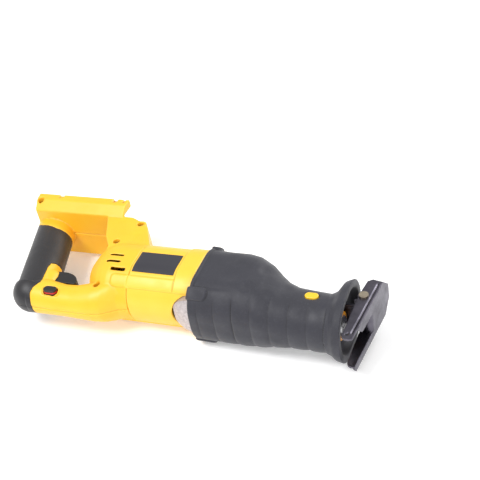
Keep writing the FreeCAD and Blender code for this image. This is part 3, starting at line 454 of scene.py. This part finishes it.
barrelDetail = {
    "voxel": 0.75,
    "rounds": 2,
    "band": (-60, 12.5, -47.0, -37.5),
    "bandCorner": 0.1,
    "bandAbove": 12,          # the band starts this far from the parting plane
    "edge": 0.9,
    "height": 1.1,
    "collarFrom": 12.5,
    "collarEnds": (46.6, 47.5),
    "waist": 7,               # half the straight length of the barrel's rounded section
    "skin": (33.2, 34.4),     # only points this far from the motor's axis are moved
}


def shapeBarrel(x, y, z, normal):
    # the band along the near flank runs into a low collar at the front
    drum = barrelDetail
    outside = ease(np.hypot(np.maximum(np.abs(y - motorAxis) - drum["waist"], 0), z), *drum["skin"])
    band = patch(x, y, *drum["band"], drum["bandCorner"], drum["edge"]) * (np.abs(z) > drum["bandAbove"])
    collar = ease(x, drum["collarFrom"], drum["collarFrom"] + drum["edge"])
    collar *= 1 - ease(-y, *drum["collarEnds"])
    return outside * drum["height"] * np.maximum(band, collar)


bootDetail = {
    "voxel": 1.02,
    "rounds": 6,
    "facesOut": (0.05, 0.3),
    "grooves": [42, 60.5, 79.5, 98.5, 117, 136, 154.5, 172],
    "fadeOver": [-58, -56, -53, -50, -44, -44, -46, -50],   # y where each groove fades out
    "fadeLength": (3, 8),
    "ribHeight": 1.7,
    "ribFullness": 0.4,
    "ribLean": 0.8,
    "middle": -25,                # y that parts the boot's lower side from its upper side
    "capReach": 24,               # nearer the parting plane than this, the y side counts as outside too
    "rearRim": 3.2,
    "rimStep": 1.1,
    "rimEdge": 0.9,
    "rimFades": (50, 84),         # x over which the step behind the rim dies out
    "rimTop": (-50, -46),
    "fingerTab": (20, 53.0, -57.5, -47.5),
    "fingerTabCorner": 4.5,
    "fingerTabEdge": 1.2,
    "lowerTab": (20, 42, 16, 26),
    "lowerTabCorner": 3.0,
    "lowerTabEdge": 1.4,
    "tabHeight": 2.0,
    "tabAbove": 8,
    "dimples": [((91, -40), 9, 1.5), ((103, -13), 10, 1.7), ((113, -44), 8, 1.1), ((70, -28), 15, 0.9),
                ((64, -2), 12, 0.7), ((128, -30), 9, 0.8)],   # centre, radius, depth
    "dimplesAbove": 16,
}


def shapeBoot(x, y, z, normal):
    # pillow-shaped ribs round the belly, a rim and tabs at the rear edge, shallow thumb hollows
    sleeve = bootDetail
    side = np.abs(z)
    outward = normal[:, 1] * np.where(y > sleeve["middle"], 1, -1) * (side < sleeve["capReach"])
    outside = ease(outward + normal[:, 2] * np.sign(z), *sleeve["facesOut"])
    grooves, fades = np.array(sleeve["grooves"]), np.array(sleeve["fadeOver"])
    last = np.clip(np.searchsorted(grooves, x) - 1, 0, len(grooves) - 2)
    t = np.clip((x - grooves[last]) / (grooves[last + 1] - grooves[last]), 0, 1)
    # the rib stands 1 - (2t - 1)^2 to the power of its fullness above its valleys, leaning to its rear side
    rib = (1 - (2 * t ** sleeve["ribLean"] - 1) ** 2) ** sleeve["ribFullness"]
    start = np.interp(x, grooves, fades)
    wrap = ease(-y, -start - sleeve["fadeLength"][0], -start + sleeve["fadeLength"][1])
    wrap *= (x > grooves[0]) * (x < grooves[-1])
    amount = -wrap * sleeve["ribHeight"] * (1 - rib)
    rim = bootRear + sleeve["rearRim"]
    step = ease(x, rim, rim + sleeve["rimEdge"]) * (1 - ease(x, *sleeve["rimFades"]))
    amount -= sleeve["rimStep"] * step * ease(y, *sleeve["rimTop"])
    finger = patch(x, y, *sleeve["fingerTab"], sleeve["fingerTabCorner"], sleeve["fingerTabEdge"])
    lower = patch(x, y, *sleeve["lowerTab"], sleeve["lowerTabCorner"], sleeve["lowerTabEdge"])
    lift = np.maximum(finger, lower) * (side > sleeve["tabAbove"])
    amount = amount * (1 - lift) + lift * sleeve["tabHeight"]
    for centre, radius, depth in sleeve["dimples"]:
        amount -= depth * dent(x, y, centre, radius) * (side > sleeve["dimplesAbove"])
    return amount * outside


shoeDetail = {
    "voxel": 0.5,
    "rounds": 4,
    "pivot": (199.5, -20.0),
    "tilt": math.radians(7),
    "cheekAbove": 20.3,       # a cheek's outer face is further than this from the parting plane
    "facesOut": 0.5,
    "grooveAt": 7.2,          # pressed line beside the front bend of each cheek
    "grooveHalf": 0.8,
    "grooveDepth": 0.8,
    "grooveLow": (-52, -49),
    "grooveHigh": (19, 21),
}


def shapeShoe(x, y, z, normal):
    # u ahead of the pivot, v along the face; the line's section is a bell, exp(-(distance / half width)^2)
    press = shoeDetail
    along, across = x - press["pivot"][0], y - press["pivot"][1]
    u = along * math.cos(press["tilt"]) - across * math.sin(press["tilt"])
    v = along * math.sin(press["tilt"]) + across * math.cos(press["tilt"])
    cheek = (np.abs(z) > press["cheekAbove"]) * (normal[:, 2] * np.sign(z) > press["facesOut"])
    line = np.exp(-((u - press["grooveAt"]) / press["grooveHalf"]) ** 2)
    line *= ease(v, *press["grooveLow"]) * (1 - ease(v, *press["grooveHigh"]))
    return -press["grooveDepth"] * line * cheek


gripSkin = (0.6, 3)        # voxel in millimetres, rounds of averaging


def ventBoxes(sign):
    # one box per vent through one shell: sign is 1 for the left shell and -1 for the right one
    low, high = sorted(sign * z for z in shellDetail["ventReach"])
    long = shellDetail["ventHalfLength"]
    return [((x - long, y - wide, low), (x + long, y + wide, high)) for x, y, wide in shellDetail["vents"]]


for side, sign in (("left", 1), ("right", -1)):
    softened("moulded_shell_" + side, "handle_shell_" + side, "housing", shellDetail["voxel"],
             shellDetail["rounds"], shapeShell, ventBoxes(sign))
    softened("grip_skin_" + side, "grip_rubber_" + side, "housing", *gripSkin)
softened("moulded_barrel", "motor_barrel", "housing", barrelDetail["voxel"], barrelDetail["rounds"],
         shapeBarrel)
softened("moulded_boot", "rubber_boot", "housing", bootDetail["voxel"], bootDetail["rounds"], shapeBoot)
softened("pressed_shoe", "shoe", "shoe_group", shoeDetail["voxel"], shoeDetail["rounds"], shapeShoe)

# the small mouldings only have their corners rounded: node, body, voxel, rounds of averaging
smallMouldings = {
    "moulded_trigger": ("trigger", "trigger", 0.45, 4),
    "moulded_lock_button": ("lock_button", "lock_off", 0.4, 3),
    "moulded_latch_button": ("shoe_latch", "shoe_latch", 0.4, 3),
    "moulded_lever": ("clamp_lever", "clamp_lever", 0.45, 2),
}
for name, settings in smallMouldings.items():
    softened(name, *settings)

studio = {
    "floorHalf": 4,            # metres
    "floorPatch": 400,         # width of one patch of the floor's faint unevenness, in millimetres
    "floorGlow": 0.25,
    "worldStrength": 0.6,
    # place in metres, width in metres, watts
    "lights": {"keyLight": ((-0.5, -0.6, 1.3), 0.6, 15), "rimLight": ((0.6, 1.1, 1.0), 0.8, 10),
               "frontLight": ((0.9, -0.9, 0.7), 0.8, 5)},
    "cameraPlace": (0.3885, -0.6323, 0.6192),
    "cameraTurn": (52.943, 9.222, 19.700),
    "focalLength": 67.6,
    "sensorWidth": 36,
}

# floor: a matt white plane under the saw
wide = studio["floorHalf"]
floorMesh = bpy.data.meshes.new("floor")
corners = [(-wide, -wide, 0), (wide, -wide, 0), (wide, wide, 0), (-wide, wide, 0)]
floorMesh.from_pydata(corners, [], [(0, 1, 2, 3)])
floor = bpy.data.objects.new("floor", floorMesh)
bpy.context.scene.collection.objects.link(floor)
floorPaint, tree, shader, where = startMaterial("studio floor, matt white", 0.85)
uneven = noise(tree, where, studio["floorPatch"])
tree.links.new(mixColour(tree, uneven, linearColour("#f4f4f4"), linearColour("#efefef")),
               shader.inputs["Base Color"])
shader.inputs["Emission Color"].default_value = linearColour("#ffffff")
shader.inputs["Emission Strength"].default_value = studio["floorGlow"]
floorMesh.materials.append(floorPaint)

world = bpy.data.worlds.new("studio")
bpy.context.scene.world = world
world.use_nodes = True
world.node_tree.nodes["Background"].inputs[0].default_value = linearColour("#ffffff")
world.node_tree.nodes["Background"].inputs[1].default_value = studio["worldStrength"]


def areaLight(name, place, size, watts):
    # a round soft light that faces the origin
    data = bpy.data.lights.new(name, "AREA")
    data.shape = "DISK"
    data.size = size
    data.energy = watts
    light = bpy.data.objects.new(name, data)
    light.location = place
    light.rotation_euler = (-Vector(place)).to_track_quat("-Z", "Y").to_euler()
    bpy.context.scene.collection.objects.link(light)


for name, settings in studio["lights"].items():
    areaLight(name, *settings)

lens = bpy.data.cameras.new("camera")
lens.lens = studio["focalLength"]
lens.sensor_width = studio["sensorWidth"]
lens.clip_start = 0.01
camera = bpy.data.objects.new("camera", lens)
camera.location = studio["cameraPlace"]
camera.rotation_euler = [math.radians(a) for a in studio["cameraTurn"]]
bpy.context.scene.collection.objects.link(camera)
bpy.context.scene.camera = camera
bpy.context.scene.view_settings.view_transform = "Standard"
print("floor, lights and camera placed")
